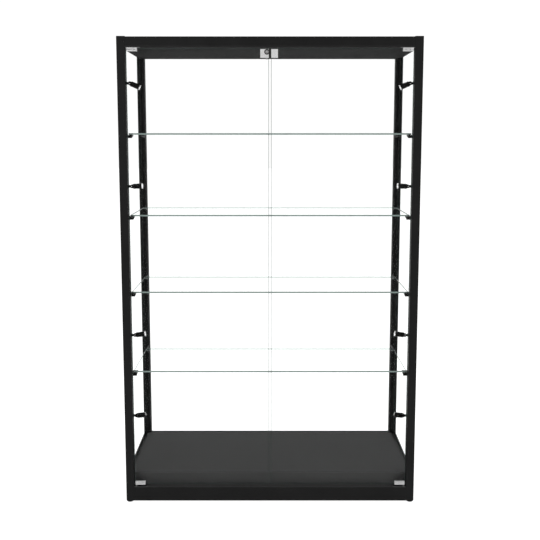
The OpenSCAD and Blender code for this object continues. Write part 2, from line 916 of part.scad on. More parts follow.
// Hub and tongue that turn on the stem, with the pin that the head tilts on
module lamp_yoke_shape() {
    hub_x = flange_t + lamp_gap;
    difference() {
        union() {
            translate([hub_x, 0, 0]) rotate([0, 90, 0]) cylinder(h = hub_t, r = hub_r);
            translate([hub_x + hub_t / 2, -tongue_w / 2, -tongue_t / 2]) {
                cube([lamp_pivot - hub_x - hub_t / 2, tongue_w, tongue_t]);
            }
            translate([lamp_pivot, 0, -tongue_t / 2]) cylinder(h = tongue_t, r = tongue_w / 2);
        }
        rotate([0, 90, 0]) cylinder(h = journal_len + lamp_gap, r = journal_r + pin_fit);
        translate([lamp_pivot, 0, -tongue_t]) cylinder(h = 2 * tongue_t, r = lamp_pin_r + thread_fit);
    }
    translate([lamp_pivot, 0, 0]) {
        translate([0, 0, -knuckle_flat - pin_head_h / 2]) {
            cylinder(h = 2 * knuckle_flat + pin_head_h, r = lamp_pin_r);
        }
        for (way = [0, 1]) {
            mirror([0, 0, way]) translate([0, 0, knuckle_flat + hole_play]) {
                cylinder(h = pin_head_h, r = pin_head_r);
            }
        }
    }
}

// Forked housing of a lamp along +X from its pivot, with cooling grooves and a bore for the optics
module lamp_housing() {
    flare_at = 2;
    flare_r = sqrt(pow(knuckle_r, 2) - pow(flare_at, 2));
    difference() {
        union() {
            sphere(r = knuckle_r);
            rotate([0, 90, 0]) {
                translate([0, 0, flare_at]) cylinder(h = head_full - flare_at, r1 = flare_r, r2 = head_r);
                translate([0, 0, head_full]) cylinder(h = head_front - head_full, r = head_r);
            }
        }
        translate([-2 * knuckle_r, -2 * head_r, -fork_slot / 2]) {
            cube([2 * knuckle_r + fork_floor, 4 * head_r, fork_slot]);
        }
        translate([0, 0, -2 * head_r]) cylinder(h = 4 * head_r, r = lamp_pin_r + pin_fit);
        for (way = [0, 1]) {
            mirror([0, 0, way]) translate([0, 0, knuckle_flat]) {
                cylinder(h = head_r, r = pin_head_r + lamp_gap);
            }
        }
        rotate([0, 90, 0]) {
            translate([0, 0, board_x]) cylinder(h = head_front, r = head_bore);
            for (k = [1 : fin_count]) {
                translate([0, 0, head_full + fin_pitch * k]) difference() {
                    cylinder(h = fin_gap, r = head_r + 1);
                    translate([0, 0, -1]) cylinder(h = fin_gap + 2, r = head_r - fin_deep);
                }
            }
        }
    }
}

// A whole lamp head: housing, bezel ring, lens, reflector and light board
module lamp_head_shape() {
    rim = head_bore - clear;
    cup_from = board_x + board_t + lamp_gap;
    cup_to = bezel_front - 2 * lens_t - 1;
    lamp_housing();
    rotate([0, 90, 0]) {
        translate([0, 0, head_front + thread_fit]) difference() {
            cylinder(h = bezel_front - head_front, r = bezel_r);
            translate([0, 0, -1]) cylinder(h = bezel_front, r = head_bore);
        }
        translate([0, 0, bezel_front - 2 * lens_t]) cylinder(h = lens_t, r = head_bore - pin_fit);
        translate([0, 0, board_x + pin_fit]) cylinder(h = board_t, r = head_bore - hole_play);
        rotate_extrude() {
            polygon([[cup_r, cup_from], [cup_r + cup_t, cup_from], [rim, cup_to], [rim - cup_t, cup_to]]);
        }
    }
}

module at_lamp(i) {
    translate([-inner_x, lamp_y, lamp_z[i - 1]]) children();
}

module lamp_stems() {
    color(frame_black) both_sides() for (i = lamp_ids) at_lamp(i) lamp_stem();
}

module lamp_yoke(side, i) {
    color(frame_black) on_side(side) at_lamp(i) rotate([lamp_swivel[i - 1], 0, 0]) lamp_yoke_shape();
}

module lamp_head(side, i) {
    color(panel_black) on_side(side) at_lamp(i) rotate([lamp_swivel[i - 1], 0, 0]) {
        translate([lamp_pivot, 0, 0]) rotate([0, 0, lamp_tilt[i - 1]]) lamp_head_shape();
    }
}

// Levelling foot: a round pad under the post and a stud into the corner block
module foot(side, y_side) {
    color("black") on_side(side) mirror([0, y_side == "rear" ? 1 : 0, 0]) {
        translate([-half_w + stud_at, -half_d + stud_at, 0]) {
            cylinder(h = foot_h - foot_play, r = foot_r);
            cylinder(h = foot_h + stud_h, r = stud_r);
        }
    }
}

left_front_post();
right_front_post();
left_rear_post();
right_rear_post();
front_top_rail();
rear_top_rail();
left_top_rail();
right_top_rail();
front_base_rail();
rear_base_rail();
left_base_rail();
right_base_rail();
corner_blocks();
frame_screws();
roof_panel();
ceiling_panel();
floor_deck();
left_side_glass();
right_side_glass();
back_glass();
glazing_seals();
lamp_driver();
power_inlet();
lamp_stems();
hinge_sockets();
left_door_glass();
left_door_clips();
lock_case();
right_door_glass();
right_door_clips();
lock_keeper();
lock_plug();
for (i = shelf_ids) {
    shelf_glass(i);
    shelf_brackets(i);
}
for (s = side_names) {
    for (i = lamp_ids) {
        lamp_yoke(s, i);
        lamp_head(s, i);
    }
    for (e = ["front", "rear"]) {
        foot(s, e);
    }
}
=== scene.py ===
"""Looks for the glass display case: bevelled metalwork, clear panes, lamps, lock and clips."""

import json
import math

import bmesh
import bpy
from mathutils import Matrix, Vector


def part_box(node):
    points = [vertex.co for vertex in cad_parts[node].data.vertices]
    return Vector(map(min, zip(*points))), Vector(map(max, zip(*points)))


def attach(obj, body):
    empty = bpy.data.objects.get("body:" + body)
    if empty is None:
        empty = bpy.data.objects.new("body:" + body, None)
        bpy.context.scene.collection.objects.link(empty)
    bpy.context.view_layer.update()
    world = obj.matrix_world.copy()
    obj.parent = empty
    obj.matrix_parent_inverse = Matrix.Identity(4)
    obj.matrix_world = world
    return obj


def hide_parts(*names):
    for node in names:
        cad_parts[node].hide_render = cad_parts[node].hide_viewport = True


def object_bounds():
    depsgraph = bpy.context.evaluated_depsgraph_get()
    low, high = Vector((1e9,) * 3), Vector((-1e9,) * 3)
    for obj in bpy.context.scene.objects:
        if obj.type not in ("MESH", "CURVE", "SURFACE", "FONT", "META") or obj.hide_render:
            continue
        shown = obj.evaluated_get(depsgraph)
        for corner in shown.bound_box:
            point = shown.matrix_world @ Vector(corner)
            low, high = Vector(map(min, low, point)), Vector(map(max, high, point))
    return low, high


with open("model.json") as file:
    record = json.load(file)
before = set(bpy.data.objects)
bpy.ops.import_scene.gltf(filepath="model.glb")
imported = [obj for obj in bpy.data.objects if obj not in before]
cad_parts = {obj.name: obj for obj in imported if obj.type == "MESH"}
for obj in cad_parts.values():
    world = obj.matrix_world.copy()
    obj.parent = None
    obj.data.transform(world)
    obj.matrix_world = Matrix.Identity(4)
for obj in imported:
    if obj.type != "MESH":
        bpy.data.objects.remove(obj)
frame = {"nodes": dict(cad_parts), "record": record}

CAD_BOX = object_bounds()
MM = 0.001

# Camera, set square to the front at about the height of the top shelf
CAMERA_AT = (0.0, -4.012, 1.5166)
CAMERA_DOWN = 8.214
CAMERA_LENS = 61.97
CAMERA_SENSOR = 36.0

# Light: the room as it lights the case from its front and its back, and as the camera sees it
ROOM_FRONT = 0.42
ROOM_BACK = 1.0
ROOM_SEEN = 1.06
ROOM_SPAN = (-0.6, 0.7)
FLOOR_GLOW = 0.88
FLOOR_REACH = 40.0
SOFTBOXES = (
    # name, place, aim, width in metres, power in watts
    ("key_softbox", (-2.2, -3.4, 3.4), (0, 0, 1.0), 2.0, 60),
    ("fill_softbox", (2.6, -3.0, 2.6), (0, 0, 1.0), 2.4, 35),
    ("top_softbox", (0, 0.4, 4.6), (0, 0, 0.5), 2.6, 60),
)

# Mesh clean-up
WELD = 0.01 * MM
FLAT = math.radians(0.6)
CREASE = math.radians(32)


# ---------------------------------------------------------------- materials

def new_material(name):
    """A material with one Principled shader, as (material, node tree, shader)."""
    mat = bpy.data.materials.new(name)
    mat.use_nodes = True
    tree = mat.node_tree
    return mat, tree, tree.nodes["Principled BSDF"]


def node(tree, kind, inputs=None, **settings):
    """Adds a shader node; inputs maps socket names or numbers to values or to sockets."""
    made = tree.nodes.new(kind)
    for key, value in settings.items():
        setattr(made, key, value)
    for key, value in (inputs or {}).items():
        if isinstance(value, bpy.types.NodeSocket):
            tree.links.new(value, made.inputs[key])
        else:
            made.inputs[key].default_value = value
    return made


def noise(tree, scale, detail=3.0, rough=0.55, stretch=None):
    """A noise value in object space, in features per metre, stretched along an axis if asked."""
    place = node(tree, "ShaderNodeTexCoord").outputs["Object"]
    if stretch is not None:
        place = node(tree, "ShaderNodeMapping", {"Vector": place, "Scale": stretch}).outputs[0]
    return node(
        tree, "ShaderNodeTexNoise",
        {"Vector": place, "Scale": scale, "Detail": detail, "Roughness": rough},
    ).outputs["Fac"]


def spread(tree, value, low, high, start=0.3, end=0.7):
    """Maps a noise value from start..end to low..high."""
    return node(
        tree, "ShaderNodeMapRange",
        {"Value": value, "From Min": start, "From Max": end, "To Min": low, "To Max": high},
    ).outputs[0]


def shade(tree, value, dark, light, start=0.3, end=0.7):
    """A colour between dark and light by a noise value."""
    ramp = node(tree, "ShaderNodeValToRGB", {"Fac": value})
    ramp.color_ramp.elements[0].position = start
    ramp.color_ramp.elements[0].color = (*dark, 1)
    ramp.color_ramp.elements[1].position = end
    ramp.color_ramp.elements[1].color = (*light, 1)
    return ramp.outputs["Color"]


def bump(tree, height, depth):
    """A surface normal from a height value, depth metres deep."""
    return node(
        tree, "ShaderNodeBump", {"Height": height, "Distance": depth, "Strength": 1.0}
    ).outputs["Normal"]


def grey(value):
    """A neutral colour."""
    return (value, value, value)


def around(colour, share):
    """A colour darkened and lightened by a share of itself."""
    return tuple(c * (1 - share) for c in colour), tuple(c * (1 + share) for c in colour)


def powder_coat(name, tone, roughness, gloss, grain=1400.0):
    """Baked powder paint: a fine orange-peel skin with faint mottling."""
    mat, tree, shader = new_material(name)
    peel = noise(tree, grain, 2.0)
    mottle = noise(tree, 9.0, 5.0)
    colour = shade(tree, mottle, *around(grey(tone), 0.14))
    tree.links.new(colour, shader.inputs["Base Color"])
    tree.links.new(spread(tree, mottle, roughness - 0.05, roughness + 0.06), shader.inputs["Roughness"])
    tree.links.new(bump(tree, peel, 0.01 * MM), shader.inputs["Normal"])
    shader.inputs["Specular IOR Level"].default_value = gloss
    return mat


def laminate(name, tone):
    """Matt sheet with a fine pebbled emboss and small lighter flecks."""
    mat, tree, shader = new_material(name)
    fleck = noise(tree, 2600.0, 1.0)
    cloud = noise(tree, 3.0, 4.0)
    base = shade(tree, cloud, *around(grey(tone), 0.05))
    flecked = node(
        tree, "ShaderNodeMix",
        {"Factor": spread(tree, fleck, 0.0, 0.06, 0.62, 0.78), "A": base, "B": (*grey(tone * 1.8), 1)},
        data_type="RGBA",
    )
    tree.links.new(flecked.outputs["Result"], shader.inputs["Base Color"])
    tree.links.new(spread(tree, cloud, 0.58, 0.66), shader.inputs["Roughness"])
    tree.links.new(bump(tree, noise(tree, 1500.0, 3.0), 0.002 * MM), shader.inputs["Normal"])
    shader.inputs["Specular IOR Level"].default_value = 0.02
    return mat


def plated(name, tone, roughness, brushed=None, metal=1.0):
    """Plated metal with faint brushing or casting waviness."""
    mat, tree, shader = new_material(name)
    grain = noise(tree, 500.0, 4.0, stretch=brushed or (1, 1, 1))
    tree.links.new(shade(tree, grain, grey(tone * 0.93), grey(tone)), shader.inputs["Base Color"])
    tree.links.new(spread(tree, grain, roughness * 0.7, roughness * 1.3), shader.inputs["Roughness"])
    tree.links.new(bump(tree, grain, 0.02 * MM), shader.inputs["Normal"])
    shader.inputs["Metallic"].default_value = metal
    return mat


def moulded(name, colour, roughness=0.55, gloss=0.3):
    """Moulded plastic or rubber with a spark-eroded grain."""
    mat, tree, shader = new_material(name)
    grain = noise(tree, 2200.0, 2.0)
    tree.links.new(shade(tree, grain, *around(colour, 0.1)), shader.inputs["Base Color"])
    tree.links.new(spread(tree, grain, roughness - 0.06, roughness + 0.06), shader.inputs["Roughness"])
    tree.links.new(bump(tree, grain, 0.04 * MM), shader.inputs["Normal"])
    shader.inputs["Specular IOR Level"].default_value = gloss
    return mat


def clear_pane(name, mirror=0.06, most=0.01):
    """The broad faces of float glass: nearly all passed, with a weak reflection off the near face."""
    mat, tree, shader = new_material(name)
    tree.nodes.remove(shader)
    smear = noise(tree, 5.0, 4.0)
    through = node(tree, "ShaderNodeBsdfTransparent", {"Color": (0.991, 0.993, 0.992, 1)})
    gloss = node(
        tree, "ShaderNodeBsdfGlossy",
        {"Color": (0.97, 0.98, 0.975, 1), "Roughness": spread(tree, smear, 0.015, 0.05)},
    )
    angle = node(tree, "ShaderNodeFresnel", {"IOR": 1.45})
    share = node(tree, "ShaderNodeMath", {0: angle.outputs[0], 1: mirror}, operation="MULTIPLY")
    held = node(tree, "ShaderNodeMath", {0: share.outputs[0], 1: most}, operation="MINIMUM")
    behind = node(tree, "ShaderNodeNewGeometry").outputs["Backfacing"]
    near = spread(tree, behind, 1.0, 0.0, 0.0, 1.0)
    mixed = node(tree, "ShaderNodeMath", {0: held.outputs[0], 1: near}, operation="MULTIPLY")
    both = node(
        tree, "ShaderNodeMixShader",
        {0: mixed.outputs[0], 1: through.outputs[0], 2: gloss.outputs[0]},
    )
    tree.links.new(both.outputs[0], tree.nodes["Material Output"].inputs["Surface"])
    return mat


def ground_edge(name, colour, outside, inside):
    """Polished pane edge, with how solid it is seen from outside and seen through the pane."""
    mat, tree, shader = new_material(name)
    tree.nodes.remove(shader)
    waves = noise(tree, 900.0, 3.0)
    body = node(
        tree, "ShaderNodeBsdfPrincipled",
        {
            "Base Color": shade(tree, waves, *around(colour, 0.15)),
            "Roughness": spread(tree, waves, 0.22, 0.36),
            "Specular IOR Level": 0.3,
            "Normal": bump(tree, waves, 0.03 * MM),
        },
    )
    through = node(tree, "ShaderNodeBsdfTransparent", {"Color": (0.9, 0.97, 0.94, 1)})
    behind = node(tree, "ShaderNodeNewGeometry").outputs["Backfacing"]
    solid = spread(tree, behind, outside, inside, 0.0, 1.0)
    both = node(tree, "ShaderNodeMixShader", {0: solid, 1: through.outputs[0], 2: body.outputs[0]})
    tree.links.new(both.outputs[0], tree.nodes["Material Output"].inputs["Surface"])
    return mat


def lamp_lens(name):
    """A frosted lens with a faint painted glow, standing in for the room's light on it."""
    mat, tree, shader = new_material(name)
    frost = noise(tree, 1800.0, 3.0)
    tree.links.new(shade(tree, frost, grey(0.72), grey(0.86)), shader.inputs["Base Color"])
    tree.links.new(spread(tree, frost, 0.12, 0.3), shader.inputs["Roughness"])
    tree.links.new(bump(tree, frost, 0.05 * MM), shader.inputs["Normal"])
    # Painted glow: this emission stands in for the room's light on the lens.
    shader.inputs["Emission Color"].default_value = (1, 1, 1, 1)
    shader.inputs["Emission Strength"].default_value = 0.25
    return mat


BLACK_PAINT = powder_coat("black_powder_coat", 0.0088, 0.5, 0.06)
PANEL_PAINT = powder_coat("black_panel_paint", 0.016, 0.65, 0.004, 900.0)
DECK_SHEET = laminate("grey_deck_laminate", 0.047)
LAMP_BLACK = powder_coat("black_anodised_lamp", 0.004, 0.5, 0.06, 3000.0)
SATIN_CHROME = plated("satin_chrome", 0.5, 0.32, (1, 6, 1), 0.5)
LOCK_CHROME = plated("lock_chrome", 0.62, 0.3, (6, 1, 1), 0.4)
BRIGHT_CHROME = plated("bright_chrome", 0.85, 0.15)
NICKEL = plated("nickel_plate", 0.5, 0.25)
SOCKET_GREY = plated("socket_grey", 0.1, 0.4)
ZINC = plated("zinc_plate", 0.55, 0.4)
CAST = plated("cast_metal", 0.3, 0.6)
SEAL_RUBBER = moulded("black_seal_rubber", grey(0.02), 0.6)
PAD_RUBBER = moulded("clear_pad_rubber", (0.35, 0.38, 0.37), 0.4)
BLACK_PLASTIC = moulded("black_plastic", grey(0.01), 0.55, 0.12)
DRIVER_PLASTIC = moulded("driver_plastic", (0.72, 0.72, 0.69))
# Its emission is a painted glow, shared by the lenses, lens rings and emitter domes.
LENS = lamp_lens("frosted_lens")
LIGHT_BOARD = moulded("light_board_coating", (0.85, 0.85, 0.8), 0.5)
PANE = clear_pane("clear_float_glass")
EDGE = ground_edge("green_glass_edge", (0.19, 0.24, 0.225), 1.0, 0.4)
DOOR_EDGE = ground_edge("dark_glass_edge", (0.02, 0.032, 0.028), 0.9, 0.4)
SIDE_EDGE = ground_edge("shelf_side_edge", (0.02, 0.026, 0.024), 0.95, 0.85)


# ------------------------------------------------------------------- meshes

def absorb(bm, other):
    """Adds one bmesh to another, and frees it."""
    mesh = bpy.data.meshes.new("part")
    other.to_mesh(mesh)
    other.free()
    bm.from_mesh(mesh)
    bpy.data.meshes.remove(mesh)


def welded(name):
    """A CAD node's mesh as a bmesh, with its split corners joined and its flat faces made whole."""
    bm = bmesh.new()
    bm.from_mesh(frame["nodes"][name].data)
    bmesh.ops.remove_doubles(bm, verts=bm.verts, dist=WELD)
    bmesh.ops.dissolve_limit(bm, angle_limit=FLAT, verts=bm.verts, edges=bm.edges)
    for face in bm.faces:
        face.material_index = 0
    return bm


def islands(bm):
    """The separate solids in a bmesh, as lists of faces, in the order of their first faces."""
    seen, found = set(), []
    for first in bm.faces:
        if first in seen:
            continue
        seen.add(first)
        queue, solid = [first], []
        while queue:
            face = queue.pop()
            solid.append(face)
            for edge in face.edges:
                for other in edge.link_faces:
                    if other not in seen:
                        seen.add(other)
                        queue.append(other)
        found.append(solid)
    return found


def part_of(bm, faces):
    """A new bmesh with copies of some of a bmesh's faces."""
    made = bmesh.new()
    twins = {}
    for face in faces:
        for vert in face.verts:
            if vert not in twins:
                twins[vert] = made.verts.new(vert.co)
        copy = made.faces.new([twins[v] for v in face.verts])
        copy.material_index = face.material_index
    return made


def piece(name, bm, body, materials, bevel=0.0, segments=2, edge_index=-1, stands_for=()):
    """Turns a bmesh into a smooth-shaded piece that rides on a body, its edges rounded by bevel mm."""
    bmesh.ops.recalc_face_normals(bm, faces=bm.faces)
    mesh = bpy.data.meshes.new(name)
    bm.to_mesh(mesh)
    bm.free()
    for mat in materials:
        mesh.materials.append(mat)
    mesh.polygons.foreach_set("use_smooth", [True] * len(mesh.polygons))
    mesh.set_sharp_from_angle(angle=CREASE)
    made = bpy.data.objects.new(name, mesh)
    bpy.context.scene.collection.objects.link(made)
    if bevel:
        rounding = made.modifiers.new("rounding", "BEVEL")
        rounding.width = bevel * MM
        rounding.segments = segments
        rounding.limit_method = "ANGLE"
        rounding.angle_limit = CREASE
        rounding.use_clamp_overlap = False
        rounding.harden_normals = True
        rounding.material = edge_index
    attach(made, body)
    if stands_for:
        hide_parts(*stands_for)
    return made


JOINTS = {j["name"]: j for j in frame["record"]["behaviour"]["joints"]}
BODY_OF = {n: b for b, names in frame["record"]["behaviour"]["bodies"].items() for n in names}


def remade(name, suffix, materials, bevel, segments=2, edge_index=-1, tint=None):
    """A CAD node made again with rounded edges; tint gives each face's material from its centre."""
    bm = welded(name)
    if tint is not None:
        for face in bm.faces:
            face.material_index = tint(face)
    return piece(
        f"{name}_{suffix}", bm, BODY_OF[name], materials,
        bevel, segments, edge_index, (name,),
    )


def finish_node(name, mat):
    """Gives a CAD node that stays as it is a better material."""
    mesh = frame["nodes"][name].data
    mesh.materials.clear()
    mesh.materials.append(mat)


def lathe(profile, sides=48, closed=True):
    """A bmesh turned about the X axis from (x, radius) points in millimetres."""
    bm = bmesh.new()
    rings = []
    for x, r in profile:
        if r == 0:
            rings.append([bm.verts.new((x * MM, 0, 0))])
            continue
        turn = 2 * math.pi / sides
        rings.append([
            bm.verts.new((x * MM, r * MM * math.cos(k * turn), r * MM * math.sin(k * turn)))
            for k in range(sides)
        ])
    pairs = list(zip(rings, rings[1:]))
    if closed:
        pairs.append((rings[-1], rings[0]))
    for a, b in pairs:
        for k in range(sides):
            ring = [a[k % len(a)], a[(k + 1) % len(a)], b[(k + 1) % len(b)], b[k % len(b)]]
            corners = list(dict.fromkeys(ring))
            if len(corners) > 2:
                bm.faces.new(corners)
    return bm


# -------------------------------------------------------------------- frame

# Edge rounding in millimetres
EXTRUSION_EDGE = 0.5
FOOT_EDGE = 1.2

# The faces in this much of the top of the front base rail are in the deck's colour
SILL_SKIN = 0.1 * MM

# Post caps: how thick, how far sunk into the post, and how rounded at the corners and on top
CAP_THICK = 2.2 * MM
CAP_SEAT = 0.2 * MM
CAP_CORNER = 1.2 * MM
CAP_CROWN = 0.7

REMADE_PARTS = (
    # node, what its piece is called, material, edge rounding in millimetres
    ("roof_panel", "sheet", PANEL_PAINT, 0.4),
    ("ceiling_panel", "tray", PANEL_PAINT, 0.5),
    ("floor_deck", "sheet", DECK_SHEET, 0.8),
    ("glazing_seals", "strips", SEAL_RUBBER, 0.2),
    ("hinge_sockets", "plates", SOCKET_GREY, 0.3),
    ("power_inlet", "shell", BLACK_PLASTIC, 0.4),
)
HIDDEN_PARTS = (
    ("corner_blocks", CAST),
    ("frame_screws", ZINC),
    ("lamp_driver", DRIVER_PLASTIC),
)


def build_frame():
    """Posts, rails, panels and feet; the front rail's top is in the deck's colour."""
    for name in BODY_OF:
        if name == "front_base_rail":
            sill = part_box(name)[1].z - SILL_SKIN
            remade(
                name, "extrusion", [BLACK_PAINT, DECK_SHEET], EXTRUSION_EDGE,
                tint=lambda face: 1 if face.calc_center_median().z > sill else 0,
            )
        elif name.endswith("_post") or name.endswith("_rail"):
            remade(name, "extrusion", [BLACK_PAINT], EXTRUSION_EDGE)
    for name, suffix, mat, rounding in REMADE_PARTS:
        remade(name, suffix, [mat], rounding)
    for name, mat in HIDDEN_PARTS:
        finish_node(name, mat)
    for name in BODY_OF:
        if name.endswith("_foot"):
            remade(name, "base", [BLACK_PLASTIC], FOOT_EDGE, 3)


def post_cap(name, low, high):
    """A moulded cap over the open top end of a post, with rounded corners and a crowned top."""
    size = Vector((high.x - low.x, high.y - low.y, CAP_THICK))
    centre = (low + high) / 2
    centre.z = high.z + CAP_THICK / 2 - CAP_SEAT
    place = Matrix.Translation(centre) @ Matrix.Diagonal((*size, 1))
    bm = bmesh.new()
    bmesh.ops.create_cube(bm, size=1.0)
    bmesh.ops.transform(bm, matrix=place, verts=bm.verts)
    upright = [e for e in bm.edges if abs((e.verts[0].co - e.verts[1].co).z) > MM]
    bmesh.ops.bevel(bm, geom=upright, offset=CAP_CORNER, segments=4, profile=0.5, affect="EDGES")
    piece(name, bm, "frame", [BLACK_PLASTIC], CAP_CROWN, 3)


def build_caps():
    """A cap on each post."""
    for name in BODY_OF:
        if name.endswith("_post"):
            post_cap(f"{name}_cap", *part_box(name))


# -------------------------------------------------------------------- glass

# Width of the ground edge in millimetres
PANE_ARRIS = 0.8
DOOR_ARRIS = 1.8

# How squarely a face has to look along an axis to be a broad face of a pane, or an end of a shelf
BROAD = 0.9
ENDWAYS = 0.7


def pane(name, thin, arris=PANE_ARRIS):
    """A pane with an arris all round; its broad faces are those across its thin axis."""
    remade(
        name, "pane", [PANE, DOOR_EDGE], arris, 2, 1,
        tint=lambda face: 0 if abs(face.normal[thin]) > BROAD else 1,
    )


def shelf_pane(name):
    """A shelf: its two ends are darker than its long edges, because the brackets shade them."""
    def tint(face):
        if abs(face.normal.z) > BROAD:
            return 0
        return 2 if abs(face.normal.x) > ENDWAYS else 1

    remade(name, "pane", [PANE, EDGE, SIDE_EDGE], PANE_ARRIS, 1, 1, tint=tint)


def build_glass():
    """The fixed panes, the doors and the shelves."""
    pane("left_side_glass", 0)
    pane("right_side_glass", 0)
    pane("back_glass", 1)
    for side in ("left", "right"):
        pane(f"{side}_door_glass", 1, DOOR_ARRIS)
    for name in BODY_OF:
        if name.startswith("shelf_") and name.endswith("_glass"):
            shelf_pane(name)


# ------------------------------------------------------- doors and brackets

MIDDLE_Z = (CAD_BOX[0][2] + CAD_BOX[1][2]) / 2
CLIP_H = 14 * MM

# Half widths of the dark line across a hinge clip and of the band of painted shade, standing in for the
# gap, between the lock's halves
CLIP_LINE = 0.9 * MM
GAP_SHADE_BAND = 5 * MM

# The ring round the key barrel, as (distance out, radius) in millimetres, and how deep it sits
RING_SEAT = 1.9 * MM
RING_PROFILE = (
    (0, 8.6), (0, 10.6), (0.9, 10.6), (1.9, 9.8),
    (2.3, 8.4), (2.3, 6.4), (2.05, 6.2), (2.05, 8.6),
)

# A shelf pad's sides are the upright faces in this much of the top of the brackets
PAD_SIDE = 1.01 * MM
SLANTED = 0.5


def stripe(bm, middle, half, normal):
    """Cuts a band across a bmesh and gives its faces the second material."""
    for way in (-1, 1):
        bmesh.ops.bisect_plane(
            bm, geom=[*bm.verts, *bm.edges, *bm.faces],
            plane_co=middle + normal * (way * half), plane_no=normal,
        )
    for face in bm.faces:
        if abs((face.calc_center_median() - middle).dot(normal)) < half:
            face.material_index = 1


def door_clips(side):
    """The hinge clips, plated, with a dark joint line along the middle of each."""
    name = f"{side}_door_clips"
    whole = welded(name)
    bm = bmesh.new()
    for faces in islands(whole):
        clip = part_of(whole, faces)
        heights = [v.co.z for v in clip.verts]
        lowest, highest = min(heights), max(heights)
        inner = highest - CLIP_H / 2 if lowest < MIDDLE_Z else lowest + CLIP_H / 2
        stripe(clip, Vector((0, 0, inner)), CLIP_LINE, Vector((0, 0, 1)))
        absorb(bm, clip)
    whole.free()
    piece(
        f"{name}_plated", bm, BODY_OF[name], [SATIN_CHROME, BLACK_PLASTIC],
        0.6, 3, -1, (name,),
    )


def lock_half(name):
    """One half of the lock, plated, with a black band of painted shade where it folds round the door's
    edge, standing in for the gap there.
    """
    bm = welded(name)
    # Painted shade: the black band stands in for the shaded gap at the door's edge.
    stripe(bm, Vector((0, 0, 0)), GAP_SHADE_BAND, Vector((1, 0, 0)))
    piece(
        f"{name}_plated", bm, BODY_OF[name], [LOCK_CHROME, BLACK_PLASTIC],
        0.4, 3, -1, (name,),
    )


def barrel_ring():
    """A dark ring seated round the key barrel, where it meets the lock's front plate."""
    pivot = Vector(JOINTS["lock_turn"]["pos_m"])
    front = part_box("lock_case")[0].y
    bm = lathe(RING_PROFILE)
    seat = Matrix.Translation((pivot.x, front + RING_SEAT, pivot.z))
    outwards = Matrix.Rotation(-math.pi / 2, 4, "Z")
    bmesh.ops.transform(bm, matrix=seat @ outwards, verts=bm.verts)
    piece("lock_barrel_ring", bm, "left_door", [BLACK_PLASTIC], 0.15)


def build_door_metal():
    """Hinge clips, lock halves, key plug and the ring round it."""
    for side in ("left", "right"):
        door_clips(side)
    for name in ("lock_case", "lock_keeper"):
        lock_half(name)
    remade("lock_plug", "turned", [NICKEL], 0.3)
    barrel_ring()


def build_brackets():
    """Brackets keep their CAD shape with softer edges; the sides of their pads are rubber."""
    for name in BODY_OF:
        if not name.endswith("_brackets"):
            continue
        pad_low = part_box(name)[1].z - PAD_SIDE

        def tint(face, low=pad_low):
            return 1 if face.calc_center_median().z > low and abs(face.normal.z) < SLANTED else 0

        remade(name, "castings", [BLACK_PAINT, PAD_RUBBER], 0.4, 2, tint=tint)


# -------------------------------------------------------------------- lamps

# How far a lamp is turned about its stem at the lower end of its swivel, in degrees
SWIVEL_DOWN = -90.0

# A lamp head in its own frame, in millimetres from its pivot
BODY_LONG = 20
BEZEL_RADIUS = 10.6
REFLECTOR_LONG = 5
LENS_FROM = 30
BEZEL_FROM = 36
BEZEL_RIM = 4.5 * MM
EMITTERS = 3
EMITTER_X = 25.5
EMITTER_OFF = 3.6
EMITTER_RADIUS = 1.7
PRISMS = 5
PRISM_PITCH = 1.6
PRISM_FOOT = 42.05
PRISM_CREST = 42.45
SCREW_SEAT = 7.3
SCREW_PROFILE = ((0, 0), (0, 2.9), (0.5, 2.7), (0.9, 1.8), (1.0, 0))


def lamp_place(lamp):
    """A lamp head's own frame, with its pivot at the origin and its nose along +X."""
    swivel, tilt = JOINTS[f"{lamp}_swivel"], JOINTS[f"{lamp}_tilt"]
    turned = math.radians(SWIVEL_DOWN - swivel["range_deg"][0])
    tilted = math.radians(-tilt["range_deg"][0])
    place = (
        Matrix.Translation(Vector((-abs(tilt["pos_m"][0]), *tilt["pos_m"][1:])))
        @ Matrix.Rotation(turned, 4, "X") @ Matrix.Rotation(tilted, 4, "Z")
    )
    if tilt["pos_m"][0] > 0:
        place = Matrix.Diagonal((-1, 1, 1, 1)) @ place
    return place


HEAD_PARTS = {
    "body": (LAMP_BLACK, 0.5),
    "bezel": (BRIGHT_CHROME, 0.7),
    "lens": (LENS, 0.3),
    "reflector": (BRIGHT_CHROME, 0.0),
    "light_board": (LIGHT_BOARD, 0.0),
}


def head_part(faces, inverse):
    """Which piece of a lamp head a solid is, from how far it reaches along and off the head's axis."""
    points = [inverse @ v.co / MM for f in faces for v in f.verts]
    low = min(p.x for p in points)
    high = max(p.x for p in points)
    wide = max(math.hypot(p.y, p.z) for p in points)
    if high - low > BODY_LONG:
        return "body"
    if wide > BEZEL_RADIUS:
        return "bezel"
    if high - low > REFLECTOR_LONG:
        return "reflector"
    return "lens" if low > LENS_FROM else "light_board"


def lamp_optics(lamp, place):
    """Three small domes on the light board, behind the lens."""
    bm = bmesh.new()
    for k in range(EMITTERS):
        turn = 2 * math.pi * k / EMITTERS
        seat = Vector((EMITTER_X, EMITTER_OFF * math.cos(turn), EMITTER_OFF * math.sin(turn))) * MM
        bmesh.ops.create_uvsphere(
            bm, u_segments=16, v_segments=10, radius=EMITTER_RADIUS * MM,
            matrix=Matrix.Translation(seat),
        )
    bmesh.ops.transform(bm, matrix=place, verts=bm.verts)
    piece(f"{lamp}_emitters", bm, f"{lamp}_head", [LENS])


def lens_rings(lamp, place):
    """Moulded prism rings on the front of the lens."""
    profile = [(PRISM_FOOT, 0)]
    for k in range(PRISMS):
        profile.append((PRISM_CREST, (k + 0.5) * PRISM_PITCH))
        profile.append((PRISM_FOOT, (k + 1) * PRISM_PITCH))
    bm = lathe(profile, 40, closed=False)
    bmesh.ops.transform(bm, matrix=place, verts=bm.verts)
    piece(f"{lamp}_lens_rings", bm, f"{lamp}_head", [LENS])


